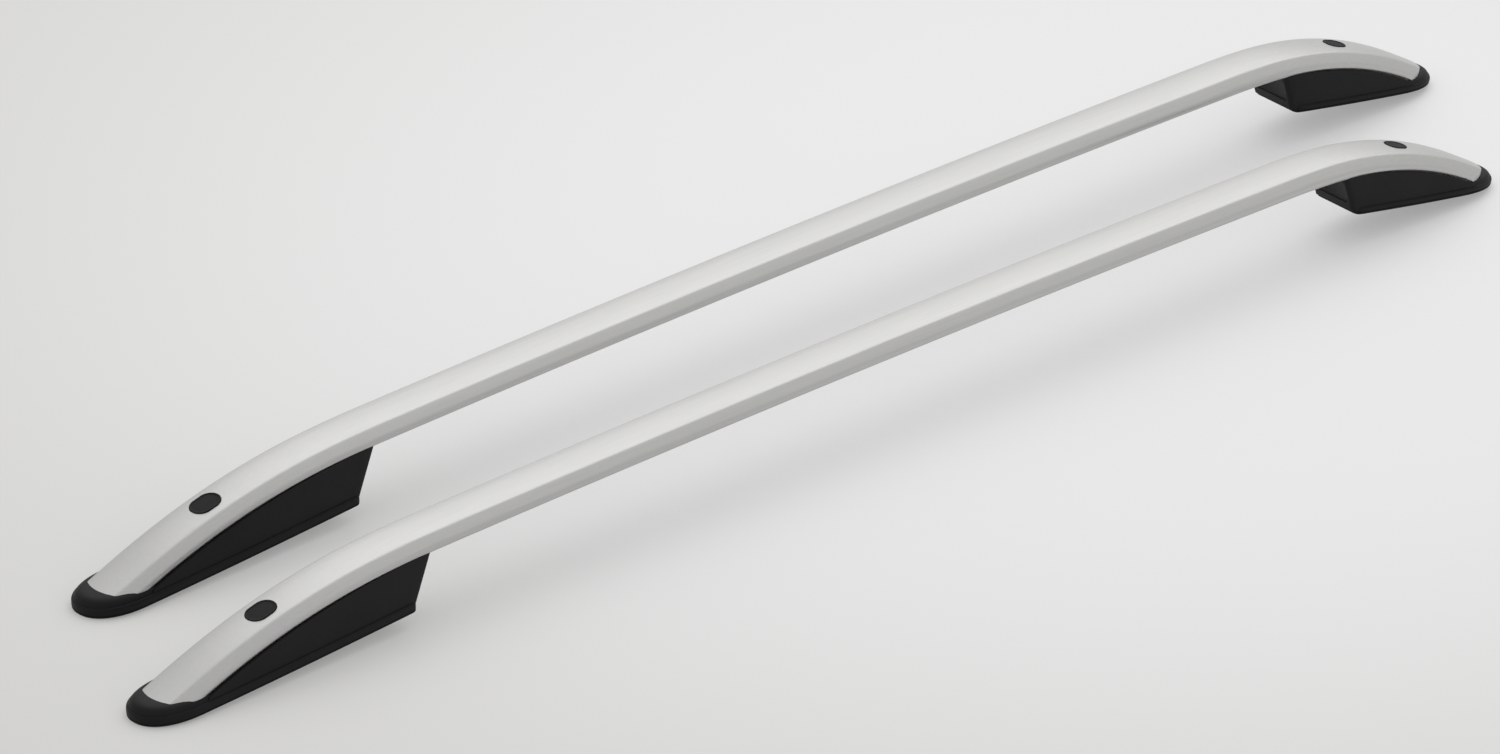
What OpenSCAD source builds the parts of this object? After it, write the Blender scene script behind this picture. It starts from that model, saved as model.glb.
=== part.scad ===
// Pair of raised roof side rails: a bent hollow bar on two moulded feet, twice.
// The rails lie side by side, one of them shifted lengthwise, as they are laid out for sale.
// X runs along the vehicle with the front at -X, Y across it, Z up from the ground.
// The origin is on the ground under the middle of the pair.

/* [Pair] */
// Distance between the middle lines of the two rails
pair_gap = 168; // [140:1:300]
// How far the right rail lies further back than the left one
pair_stagger = 88; // [0:1:200]

/* [Bar] */
// Length of bar that shows, from tip to tip
bar_span = 1411; // [1380:1:1450]
// Width of the bar
bar_w = 50; // [48:0.5:52]
// Height of the bar from its crown to its flat underside
bar_h = 15.5; // [15:0.1:18]
// Thickness of the hollow bar's skin
bar_wall = 2.2; // [1.8:0.1:2.6]
// Thickness of the two ribs inside the bar
rib_t = 2; // [1.5:0.1:2.5]
// Distance of each rib's middle from the bar's middle plane
rib_y = 13; // [12.5:0.1:14]
// Highest point of the bar's crown above the ground
crown_z = 83; // [80:0.5:90]
// Radius of the long upward arch between the feet
arch_r = 25000; // [20000:500:40000]
// How far behind mid length the arch is highest
arch_peak_x = 165; // [100:5:200]
// Straight length at each bent-down tip
tip_l = 30; // [20:1:40]

/* [Bar section] */
// Half the width of the crown's middle part
crown_half = 10; // [9.5:0.1:10.5]
// Drop of the crown's middle part towards its edges
crown_drop = 0.45; // [0.3:0.05:0.6]
// Radius of the shoulders and of the rounded sides
side_r = 5; // [4.8:0.1:5.2]
// Distance of the shoulder's centre from the bar's side
shoulder_in = 10.5; // [10.2:0.1:10.8]
// Distance of the shoulder's centre from the crown
shoulder_down = 6.2; // [6:0.1:6.4]
// Distance of the side's centre from the crown
side_down = 11.2; // [11:0.1:11.4]
// Radius of the lower corners
corner_r = 4; // [3.8:0.1:4.2]
// Distance of the lower corner's centre from the bar's side
corner_in = 6.5; // [6.3:0.1:6.7]

/* [Front end] */
// Radius of the bend over the front foot
front_bend_r = 660; // [600:5:700]
// Angle of the bend over the front foot
front_bend_a = 16.6; // [15:0.1:18]
// Radius of the gentle curve ahead of the front bend
front_ease_r = 1040; // [900:10:1200]
// Angle of the gentle curve ahead of the front bend
front_ease_a = 3.5; // [2:0.1:5]
// Distance of the front heel from the bar's tip
front_heel_in = 247.5; // [230:0.5:260]
// Distance of the front plug and mounting bore from the bar's tip
front_plug_in = 106; // [100:0.5:115]
// Slope of the front foot's base, which follows the roof's crown
front_tilt = 3; // [2:0.1:4]
// How far the front foot's nose reaches beyond the bar's tip
front_nose_l = 27; // [24:0.5:32]
// How much further in the front heel's top is than its foot
front_heel_slant = 17; // [12:0.5:19]
// Height of the front nose cup's deck above the base
front_deck_h = 13; // [12:0.1:14]
// Height of the front flange's top edge above the base
front_flange_h = 9.3; // [8.8:0.1:9.4]
// Length and width of the front oval plug
front_plug_l = 28; // [26:0.5:32]
front_plug_w = 20.5; // [18:0.5:21]

/* [Rear end] */
// Radius of the bend over the rear foot
rear_bend_r = 335; // [320:5:380]
// Angle of the bend over the rear foot
rear_bend_a = 28.3; // [27:0.1:29]
// Radius of the gentle curve ahead of the rear bend
rear_ease_r = 715; // [600:5:900]
// Angle of the gentle curve ahead of the rear bend
rear_ease_a = 3.4; // [2:0.1:5]
// Distance of the rear heel from the bar's tip
rear_heel_in = 161.5; // [158:0.5:168]
// Distance of the rear plug and mounting bore from the bar's tip
rear_plug_in = 94.5; // [92:0.5:97]
// Slope of the rear foot's base, which follows the roof's crown
rear_tilt = 9.5; // [8:0.1:10]
// How far the rear foot's nose reaches beyond the bar's tip
rear_nose_l = 8.5; // [7:0.5:12]
// How much further in the rear heel's top is than its foot
rear_heel_slant = 9; // [6:0.5:12]
// Height of the rear nose cup's deck above the base
rear_deck_h = 10; // [9:0.1:11]
// Height of the rear flange's top edge above the base
rear_flange_h = 6.4; // [6:0.1:8]
// Length and width of the rear oval plug
rear_plug_l = 20.5; // [18:0.5:24]
rear_plug_w = 16; // [15:0.5:18]

/* [Feet] */
// Half the width of a foot's wall at the heel
heel_w = 23.6; // [22:0.1:24.5]
// Half the width of a foot's wall at the nose cup
nose_w = 28; // [27.6:0.1:29]
// Length of the rounded end of a foot seen from above
round_l = 43; // [40:1:50]
// Squareness of the rounded end seen from above, 2 for an ellipse
round_n = 2.7; // [2.3:0.1:3.2]
// Radius of the heel's upright corners
heel_corner = 4; // [2:0.5:6]
// Height by which the foot's walls lap over the bar's lower corners
wall_lap = 1.5; // [0.5:0.1:2.5]
// Wall thickness of the moulded foot
foot_wall = 3; // [2.4:0.1:3.6]
// Wall thickness of the nose cup round the bar's end
cup_wall = 1.8; // [1.5:0.1:2.2]
// Radius of the nose cup's rounded top edge
deck_round = 3.5; // [2:0.1:4]
// Length of solid plastic between the foot's hollow and its nose cup
solid_l = 30; // [28:0.5:34]
// Thickness of the two cross ribs in a foot's hollow
foot_rib_t = 2; // [1.6:0.1:2.4]
// Distance of the cross ribs from the bracket
foot_rib_gap = 1; // [0.9:0.1:1.5]
// Distance of the cross ribs' lower edges above the gasket
foot_rib_up = 4; // [3:0.5:6]
// How far the flange stands out from the wall
flange_out = 1.6; // [1:0.1:2.5]
// Bevel along the flange's top edge
flange_bevel = 2; // [1:0.1:3]
// Depth of the panel sunk in the heel
panel_depth = 1.2; // [0.6:0.1:1.8]
// Width of the border round the heel's sunk panel
panel_border = 3.4; // [2.5:0.1:5]
// Thickness of the rubber gasket under each foot
gasket_t = 2.5; // [2:0.1:4]
// How far the gasket stands out from the flange
gasket_out = 0.4; // [0.2:0.1:1]

/* [Plugs] */
// Height of the plug's face above the bar's crown
plug_proud = 0.5; // [0.2:0.1:1]
// Depth of the plug's skirt below the bar's crown
plug_depth = 4; // [3:0.1:5]
// Wall of the plug's skirt
plug_wall = 1.8; // [1.4:0.1:2.4]

/* [Fixings] */
// Diameter of the mounting bore for an M8 bolt
mount_d = 8.5; // [8.3:0.1:9]
// Outer diameter of the steel bush round the mounting bore
bush_d = 12; // [11:0.5:13]
// Outer diameter of the bracket's hollow post
post_d = 20; // [18:0.5:21]
// Diameter of the tapped hole for an M6 stud
tapped_d = 5; // [4.8:0.1:5.2]
// Depth of the tapped hole
tapped_l = 10; // [8:0.5:11]
// Distance of the tapped hole from the mounting bore
tapped_gap = 38; // [34:0.5:40]
// Distance of the bracket's two screws from the mounting bore
bracket_screw_gap = 24; // [20:0.5:28]
// Half the distance between the bracket's two screws
bracket_screw_y = 7.4; // [7:0.1:7.5]
// Half the width of the bracket
bracket_w = 12; // [11:0.5:12]
// Reach of the bracket from the mounting bore towards mid length
bracket_back = 48; // [46:0.5:49]
// Reach of the bracket from the mounting bore towards the tip
bracket_front = 14; // [12:0.5:14]
// Thickness of the bracket's upright web
web_t = 6; // [4:0.5:8]
// Thickness of the bracket's plates and of the wall round its tapped hole
bracket_t = 4; // [3:0.5:5]
// Height of the bracket's post above the bar's underside
seat_up = 4.5; // [4.5:0.1:5]
// Diameter of the bush's flange
bush_head_d = 17; // [15:0.5:18]
// Thickness of the bush's flange
bush_head_t = 2; // [1.5:0.1:2.5]
// Height of the bush's lower end above the base, left for the gasket to squeeze
bush_up = 1.4; // [1:0.1:1.8]
// Thickness of the nut plate inside the bar
plate_t = 4; // [3:0.5:5]
// Length of the nut plate on each side of its screws
plate_half = 12; // [10:0.5:13]
// Diameter of the bracket's screws
bracket_screw_d = 5; // [4:0.5:5]
// Length by which the bracket's screws reach past the nut plate
bracket_screw_past = 1; // [0.5:0.1:2]
// Length by which the self-tapping screws reach past the bar's skin
foot_screw_past = 3; // [2:0.1:4]
// Diameter of a screw's head, in screw diameters
head_d = 1.7; // [1.5:0.1:1.8]
// Height of a screw's head, in screw diameters
head_t = 0.6; // [0.5:0.05:0.7]
// Diameter of the self-tapping screws that hold the moulded foot
foot_screw_d = 4; // [3.5:0.1:4.2]
// Distance of the inner self-tapping screws from the heel
heel_screw_in = 12; // [11:0.5:13]
// Distance of the outer self-tapping screws from the mounting bore
nose_screw_out = 33; // [31:0.5:34]
// Distance of the self-tapping screws from the bar's middle plane
foot_screw_y = 16.8; // [16.6:0.1:17]

/* [Fits] */
// Gap all round the bar in its seat in the foot
bar_gap = 0.25; // [0.1:0.05:0.5]
// Gap round the plug in its slot
plug_gap = 0.2; // [0.1:0.05:0.4]
// Gap round the nut plate between the bar's ribs
plate_gap = 0.4; // [0.2:0.1:0.8]
// Radial gap round the bush and the stud in the gasket's holes
gasket_hole_gap = 2; // [1.5:0.1:2.5]
// Gap between faces that are clamped together
clamp_gap = 0.1; // [0.05:0.05:0.2]
// Radial gap round screws and bushes in their holes
hole_gap = 0.3; // [0.2:0.05:0.4]
// Radial gap between a screw and its threaded hole
thread_gap = 0.05; // [0.02:0.01:0.1]

/* [Hidden] */

// Ends and sides, as indices into the pairs of values below
FRONT = 0;
REAR = 1;
LEFT = -1;
RIGHT = 1;
// Values of the two ends; both are built towards +x and the front one is mirrored
bend_r = [front_bend_r, rear_bend_r];
bend_a = [front_bend_a, rear_bend_a];
ease_r = [front_ease_r, rear_ease_r];
ease_a = [front_ease_a, rear_ease_a];
tilt = [front_tilt, rear_tilt];
nose_l = [front_nose_l, rear_nose_l];
heel_slant = [front_heel_slant, rear_heel_slant];
deck_h = [front_deck_h, rear_deck_h];
flange_h = [front_flange_h, rear_flange_h];
plug_l = [front_plug_l, rear_plug_l];
plug_w = [front_plug_w, rear_plug_w];
peak_x = [-arch_peak_x, arch_peak_x];
tip_x = bar_span / 2;
heel_x = [tip_x - front_heel_in, tip_x - rear_heel_in];
plug_x = [tip_x - front_plug_in, tip_x - rear_plug_in];
nose_x = [for (l = nose_l) tip_x + l];
// The gasket's foremost point, on which the sloping base turns
rest_x = [for (x = nose_x) x + flange_out + gasket_out];
// Shift that puts the middle of the whole pair over the origin
centre_x = (rest_x[FRONT] - rest_x[REAR]) / 2;
// First and last angle of the arcs in the bar's section
shoulder_a = [82, 38];
side_a = [25, -15];
corner_a = [-30, -90];
// Smoothness of round holes and of the bar's long arcs
$fn = 48;
arc_fn = 720;
arch_fn = 2880;
// Facets along each stretch of the bar
arch_steps = 6;
ease_steps = 3;
bend_steps = 12;
// Points along a foot's side and round its nose, seen from above
side_steps = 8;
round_steps = 10;
// How far the middle of a rounded edge lies in from its corner, for a radius of one
edge_mid = 1 - cos(45);
// Thickness of the slices that are joined into a foot's edges
slice_t = 0.1;
// How far cutting shapes reach past the surfaces they cut
over = 1;
// Share of the heel's slant that the hollow's end wall follows
hollow_slant = 0.7;
// Depth by which the foot's walls run down into the deck
deck_lap = 1;
// Angle by which each stretch of the seat overshoots the joint where it is cut
lap = 0.4;
// Reach of cutting shapes that only have to be large enough
far = 400;
tall = 150;

// Crown line of the bar: arch, gentle curve, bend and straight tip, one after the other
function reach(e, p) =
    ease_r[e] * (sin(p + ease_a[e]) - sin(p))
    + bend_r[e] * (sin(p + ease_a[e] + bend_a[e]) - sin(p + ease_a[e]))
    + tip_l * cos(p + ease_a[e] + bend_a[e]);
function arch_angle(e, turns = 5) =
    turns == 0 ? 0 : asin((tip_x - peak_x[e] - reach(e, arch_angle(e, turns - 1))) / arch_r);
function step_in(c, r, p) = c + r * [sin(p), cos(p)];
// Slope at the start of each stretch
p0 = [for (e = [FRONT, REAR]) arch_angle(e)];
p1 = [for (e = [FRONT, REAR]) p0[e] + ease_a[e]];
p2 = [for (e = [FRONT, REAR]) p1[e] + bend_a[e]];
// Centres of the arcs in the XZ plane and the start of the straight tip
c0 = [for (e = [FRONT, REAR]) [peak_x[e], crown_z - arch_r]];
c1 = [for (e = [FRONT, REAR]) step_in(c0[e], arch_r - ease_r[e], p0[e])];
c2 = [for (e = [FRONT, REAR]) step_in(c1[e], ease_r[e] - bend_r[e], p1[e])];
joint_0 = [for (e = [FRONT, REAR]) step_in(c0[e], arch_r, p0[e])];
joint_1 = [for (e = [FRONT, REAR]) step_in(c1[e], ease_r[e], p1[e])];
tip_at = [for (e = [FRONT, REAR]) step_in(c2[e], bend_r[e], p2[e])];

// Height of the line that lies depth d under the crown line, at distance x from mid length
function arc_z(c, r, x) = c[1] + sqrt(r * r - (x - c[0]) * (x - c[0]));
function line_z(e, x, d) =
    x < c0[e][0] + (arch_r - d) * sin(p0[e]) ? arc_z(c0[e], arch_r - d, x)
    : x < c1[e][0] + (ease_r[e] - d) * sin(p1[e]) ? arc_z(c1[e], ease_r[e] - d, x)
    : x < c2[e][0] + (bend_r[e] - d) * sin(p2[e]) ? arc_z(c2[e], bend_r[e] - d, x)
    : tip_at[e][1] - d * cos(p2[e]) - (x - tip_at[e][0] + d * sin(p2[e])) * tan(p2[e]);
// Slope of the crown line at distance x
function line_a(e, x) =
    x < c1[e][0] + ease_r[e] * sin(p1[e]) ? asin((x - c1[e][0]) / ease_r[e])
    : x < tip_at[e][0] ? asin((x - c2[e][0]) / bend_r[e])
    : p2[e];
// Height of the sloping base at distance x, and points along a line under the crown
function base_z(e, x) = (rest_x[e] - x) * tan(tilt[e]);
function along(e, x0, x1, d, steps = 8) =
    [for (i = [0 : steps]) let (x = x0 + (x1 - x0) * i / steps) [x, line_z(e, x, d)]];
function flip(points) = [for (i = [len(points) - 1 : -1 : 0]) points[i]];

// Outline of the bar's section as [y, z] from its crown; grow makes the same outline larger
function arc_points(c, r, a, steps) =
    [for (i = [0 : steps]) let (t = a[0] + (a[1] - a[0]) * i / steps) c + r * [cos(t), sin(t)]];
function section_half(grow, steps = 3) = concat(
    [[0, grow], [crown_half, grow - crown_drop]],
    arc_points([bar_w / 2 - shoulder_in, -shoulder_down], side_r + grow, shoulder_a, steps),
    arc_points([bar_w / 2 - side_r, -side_down], side_r + grow, side_a, steps),
    arc_points([bar_w / 2 - corner_in, corner_r - bar_h], corner_r + grow, corner_a, steps),
    [[0, -bar_h - grow]]
);
function both_halves(half) =
    concat(half, [for (i = [len(half) - 2 : -1 : 1]) [-half[i][0], half[i][1]]]);
module section_outline(grow) {
    polygon(both_halves(section_half(grow)));
}
// Outlines of the hollow's cells: between the ribs, and from a rib to the side
function inner_top(y) = lookup(y, [for (i = [0 : 2]) section_half(-bar_wall, 1)[i]]);
function middle_cell() =
    let (y = rib_y - rib_t / 2)
    both_halves([[0, -bar_wall], [y, inner_top(y)], [y, bar_wall - bar_h], [0, bar_wall - bar_h]]);
function side_cell() =
    let (y = rib_y + rib_t / 2, half = section_half(-bar_wall, 1))
    concat([[y, inner_top(y)]], [for (i = [2 : len(half) - 2]) half[i]], [[y, bar_wall - bar_h]]);

// Stations along the crown line as [x, z, slope], from the arch's peak to past the tip;
// for the whole rail, past is in nose lengths
function on_arc(c, r, a) = [c[0] + r * sin(a), c[1] + r * cos(a), a];
function half_stations(e, past) = concat(
    [for (i = [0 : arch_steps]) on_arc(c0[e], arch_r, p0[e] * i / arch_steps)],
    [for (i = [1 : ease_steps]) on_arc(c1[e], ease_r[e], p0[e] + ease_a[e] * i / ease_steps)],
    [for (i = [1 : bend_steps]) on_arc(c2[e], bend_r[e], p1[e] + bend_a[e] * i / bend_steps)],
    [[tip_at[e][0] + (tip_l + past) * cos(p2[e]), tip_at[e][1] - (tip_l + past) * sin(p2[e]), p2[e]]]
);
function rail_stations(past) =
    let (front = half_stations(FRONT, past * nose_l[FRONT]), rear = half_stations(REAR, past * nose_l[REAR]))
    concat(
        [for (i = [len(front) - 1 : -1 : 1]) [-front[i][0], front[i][1], -front[i][2]]],
        rear
    );
// A solid whose section is the same outline at every station
module rail_sweep(outline, past) {
    stations = rail_stations(past);
    n = len(outline);
    last = (len(stations) - 1) * n;
    points = [for (s = stations, p = outline) [s[0] + p[1] * sin(s[2]), p[0], s[1] + p[1] * cos(s[2])]];
    skin = [for (i = [0 : len(stations) - 2], j = [0 : n - 1])
        let (a = i * n + j, b = i * n + (j + 1) % n)
        each [[a, b, b + n], [a, b + n, a + n]]];
    ends = [for (j = [1 : n - 2]) each [[0, j + 1, j], [last, last + j, last + j + 1]]];
    polyhedron(points, concat(skin, ends));
}

// Sweeps a [y, z] section round the centre c, from slope a0 to slope a1
module sweep_arc(c, r, a0, a1, fn) {
    translate([c[0], 0, c[1]])
        rotate([0, a0, 0])
            mirror([1, 0, 0])
                rotate([90, 0, 0])
                    rotate([0, 0, 90])
                        rotate_extrude(angle = a1 - a0, $fn = fn)
                            translate([r, 0])
                                mirror([1, -1])
                                    children();
}
module sweep_tip(p, slope, l) {
    translate([p[0], 0, p[1]])
        rotate([0, slope, 0])
            rotate([90, 0, 90])
                linear_extrude(l)
                    children();
}
// All that lies outwards of the joint at p, where the crown line has the given slope
module beyond(p, slope) {
    translate([p[0], 0, p[1]])
        rotate([0, slope, 0])
            translate([0, -nose_w, -tall])
                cube([far, 2 * nose_w, 2 * tall]);
}
module mirror_front(e) {
    if (e == FRONT)
        mirror([1, 0, 0])
            children();
    else
        children();
}
// Half a bar from the arch's peak outwards; past tells how far the tip runs on.
// Neighbouring stretches are cut by the same plane, so that they meet face to face.
module sweep_half(e, past) {
    difference() {
        sweep_arc(c0[e], arch_r, 0, p0[e] + lap / 10, arch_fn)
            children();
        beyond(joint_0[e], p0[e]);
    }
    difference() {
        intersection() {
            sweep_arc(c1[e], ease_r[e], p0[e] - lap, p1[e] + lap, arc_fn)
                children();
            beyond(joint_0[e], p0[e]);
        }
        beyond(joint_1[e], p1[e]);
    }
    difference() {
        intersection() {
            sweep_arc(c2[e], bend_r[e], p1[e] - lap, p2[e] + lap, arc_fn)
                children();
            beyond(joint_1[e], p1[e]);
        }
        beyond(tip_at[e], p2[e]);
    }
    sweep_tip(tip_at[e], p2[e], tip_l + past)
        children();
}

// Half the width of a foot's wall, and its outline seen from above, from x0 to the nose
function wall_half(e, x) =
    let (share = (x - heel_x[e]) / (nose_x[e] - round_l - heel_x[e]))
    heel_w + (nose_w - heel_w) * sin(90 * max(0, min(1, share)));
function foot_outline_half(e, x0, grow) = concat(
    [for (i = [0 : side_steps]) let (x = x0 - grow + i / side_steps * (nose_x[e] - round_l - x0 + grow))
        [x, wall_half(e, x) + grow]],
    [for (i = [1 : round_steps]) let (t = 90 * i / round_steps)
        [nose_x[e] - round_l + (round_l + grow) * pow(sin(t), 2 / round_n),
         (nose_w + grow) * pow(cos(t), 2 / round_n)]]
);
module foot_outline(e, x0, grow) {
    half = foot_outline_half(e, x0, grow);
    polygon(concat(half, [for (p = flip(half)) [p[0], -p[1]]]));
}
// A plate on the sloping base between heights z0 and z1 over it
module on_base(e, z0, z1) {
    translate([rest_x[e], 0, 0])
        rotate([0, tilt[e], 0])
            translate([-rest_x[e], 0, z0])
                linear_extrude(z1 - z0)
                    children();
}
module above_base(e, z0) {
    on_base(e, z0, tall)
        translate([nose_x[e] - far, -far / 2])
            square([2 * far, far]);
}
// An outline in the XZ plane, made as wide as 2 * w
module side_plate(w) {
    translate([0, w, 0])
        rotate([90, 0, 0])
            linear_extrude(2 * w)
                children();
}
// Sets something upright on the bar's crown line, depth d under it
module on_bar(e, x, y, d) {
    translate([x, y, line_z(e, x, 0)])
        rotate([0, line_a(e, x), 0])
            translate([0, 0, -d])
                children();
}

// Where the top of the walls, which follows the bar's underside, has come down into the deck
function heel_top_x(e) = heel_x[e] - heel_slant[e];
function cup_x(e, x0, x1, turns = 20) =
    let (x = (x0 + x1) / 2)
    turns == 0 ? x
    : line_z(e, x, bar_h - wall_lap) > base_z(e, x) + deck_h[e] - deck_lap ? cup_x(e, x, x1, turns - 1)
    : cup_x(e, x0, x, turns - 1);
cup_at = [for (e = [FRONT, REAR]) cup_x(e, heel_x[e], tip_x)];
// Side view of a foot's walls: slanted heel, and the bar's underside down to the cup
module foot_side(e) {
    polygon(concat(
        [[cup_at[e], base_z(e, cup_at[e])], [heel_x[e], base_z(e, heel_x[e])]],
        along(e, heel_top_x(e), cup_at[e], bar_h - wall_lap, 12)
    ));
}
// Rounds the heel's upright corners along its slant
module heel_prism(e) {
    lean = atan(heel_slant[e] / (line_z(e, heel_top_x(e), bar_h) - base_z(e, heel_x[e])));
    translate([heel_x[e], 0, base_z(e, heel_x[e])])
        rotate([0, -lean, 0])
            translate([0, 0, -tall])
                linear_extrude(2 * tall)
                    union() {
                        translate([heel_corner, 0])
                            polygon([[0, -heel_w], [far, -2 * heel_w], [far, 2 * heel_w], [0, heel_w]]);
                        translate([0, heel_corner - heel_w])
                            square([heel_corner, 2 * (heel_w - heel_corner)]);
                        for (side = [-1, 1])
                            translate([heel_corner, side * (heel_w - heel_corner)])
                                circle(heel_corner);
                    }
}
module foot_walls(e) {
    intersection() {
        side_plate(2 * nose_w)
            foot_side(e);
        linear_extrude(tall)
            foot_outline(e, heel_top_x(e), 0);
        heel_prism(e);
        above_base(e, gasket_t + clamp_gap);
    }
}
// A plate with the foot's outline and a rounded or bevelled top edge, from x0 to the nose
module edged_plate(e, x0, grow, top, drop, inset) {
    hull() {
        on_base(e, gasket_t + clamp_gap, top - drop)
            foot_outline(e, x0, grow);
        on_base(e, top - slice_t - drop * edge_mid, top - drop * edge_mid)
            foot_outline(e, x0, grow - inset * edge_mid);
        on_base(e, top - slice_t, top)
            foot_outline(e, x0, grow - inset);
    }
}
// The room the bar takes in a foot: its grown shape, cut flat where it rests on the cup's floor
module bar_end(e, grow) {
    intersection() {
        sweep_half(e, nose_l[e] + grow)
            section_outline(grow);
        on_base(e, gasket_t + foot_wall + bar_gap - grow, tall)
            foot_outline(e, heel_top_x(e) - far / 4, grow - bar_gap - cup_wall);
    }
}
// The hollow of a foot, open at its base and split by cross ribs
module foot_hollow(e) {
    x0 = heel_x[e] + foot_wall;
    x1 = cup_at[e] - solid_l;
    top = foot_wall + bar_h + bar_gap;
    difference() {
        intersection() {
            side_plate(2 * nose_w)
                polygon(concat([[x1, 0], [x0, 0]], along(e, x0 - heel_slant[e] * hollow_slant, x1, top, 18)));
            linear_extrude(tall)
                foot_outline(e, heel_top_x(e) + foot_wall, -foot_wall);
        }
        // Ribs ahead of and behind the bracket, kept clear of the base and of the bracket's leaning end
        inner_rib = plug_x[e] - bracket_back - foot_rib_gap - foot_rib_t;
        outer_rib = plug_x[e] + bracket_front + 3 * foot_rib_gap;
        for (x = [inner_rib, outer_rib])
            translate([x, -nose_w, base_z(e, x) + gasket_t + foot_rib_up])
                cube([foot_rib_t, 2 * nose_w, tall]);
    }
}
// The sunk panel in the slanted heel face
module heel_panel(e) {
    z0 = base_z(e, heel_x[e]) + flange_h[e] + panel_border;
    z1 = line_z(e, heel_top_x(e), bar_h) - panel_border;
    zb = base_z(e, heel_x[e]);
    run = heel_slant[e] / (line_z(e, heel_top_x(e), bar_h) - zb);
    side_plate(heel_w - panel_border)
        polygon([
            [heel_x[e] - (z0 - zb) * run - foot_wall, z0],
            [heel_x[e] - (z1 - zb) * run - foot_wall, z1],
            [heel_x[e] - (z1 - zb) * run + panel_depth, z1],
            [heel_x[e] - (z0 - zb) * run + panel_depth, z0]
        ]);
}

// Height of the seat inside the bar on which the bush's head rests
function seat_z(e) = line_z(e, plug_x[e], bar_h) + seat_up;
foot_screw_x = [for (e = [FRONT, REAR]) [heel_x[e] + heel_screw_in, plug_x[e] + nose_screw_out]];

module upright(e, d, z0, z1) {
    translate([plug_x[e], 0, z0])
        cylinder(d = d, h = z1 - z0);
}
module bracket_screw_places(e) {
    for (side = [-1, 1])
        on_bar(e, plug_x[e] - bracket_screw_gap, side * bracket_screw_y, bar_h)
            children();
}
module foot_screw_places(e) {
    for (x = foot_screw_x[e], side = [-1, 1])
        on_bar(e, x, side * foot_screw_y, bar_h)
            children();
}
// Oval outline of the plug and its slot
module oval(e, grow) {
    for (side = [-1, 1])
        translate([side * (plug_l[e] - plug_w[e]) / 2, 0])
            circle(d = plug_w[e] + 2 * grow);
    square([plug_l[e] - plug_w[e], plug_w[e] + 2 * grow], center = true);
}

module bar() {
    color("silver")
        difference() {
            rail_sweep(both_halves(section_half(0)), 1);
            rail_sweep(middle_cell(), 2);
            for (side = [0, 1])
                mirror([0, side, 0])
                    rail_sweep(side_cell(), 2);
            for (e = [FRONT, REAR])
                mirror_front(e) {
                    // Tip rounded seen from above and cut flat where it rests in the cup
                    difference() {
                        translate([cup_at[e] - solid_l, -nose_w, -tall])
                            cube([far, 2 * nose_w, 2 * tall]);
                        on_base(e, gasket_t + foot_wall + bar_gap, tall)
                            foot_outline(e, heel_x[e], -bar_gap - cup_wall);
                    }
                    // Oval slot in the crown and the holes in the underside
                    on_bar(e, plug_x[e], 0, bar_h / 2)
                        linear_extrude(bar_h)
                            oval(e, plug_gap);
                    upright(e, post_d + 2 * hole_gap, 0, seat_z(e) + bush_head_t + over);
                    bracket_screw_places(e)
                        cylinder(d = bracket_screw_d + 2 * hole_gap, h = 3 * bar_wall, center = true);
                    foot_screw_places(e)
                        cylinder(d = foot_screw_d + 2 * thread_gap, h = 3 * bar_wall, center = true);
                }
        }
}
module foot(e) {
    color("dimgray")
        difference() {
            union() {
                foot_walls(e);
                edged_plate(e, cup_at[e] - solid_l, 0, deck_h[e], deck_round, deck_round);
                edged_plate(e, heel_x[e], flange_out, flange_h[e], flange_bevel, flange_bevel * 0.7);
            }
            bar_end(e, bar_gap);
            foot_hollow(e);
            heel_panel(e);
            upright(e, post_d + 2 * hole_gap, 0, tall);
            bracket_screw_places(e)
                translate([0, 0, -foot_wall - over])
                    cylinder(d = bracket_screw_d + 2 * hole_gap, h = foot_wall + 2 * over);
            foot_screw_places(e)
                translate([0, 0, -foot_wall - over])
                    cylinder(d = foot_screw_d + 2 * hole_gap, h = foot_wall + 2 * over);
        }
}
module gasket(e) {
    color("black")
        difference() {
            on_base(e, 0, gasket_t)
                foot_outline(e, heel_x[e], flange_out + gasket_out);
            upright(e, bush_d + 2 * gasket_hole_gap, -tall, tall);
            translate([-tapped_gap, 0, 0])
                upright(e, tapped_d + 2 * gasket_hole_gap, -tall, tall);
        }
}
module plug(e) {
    color("darkslategray")
        on_bar(e, plug_x[e], 0, plug_depth)
            difference() {
                linear_extrude(plug_depth + plug_proud)
                    oval(e, 0);
                translate([0, 0, -over])
                    linear_extrude(plug_depth - plug_wall + over)
                        oval(e, -plug_wall);
            }
}
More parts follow.
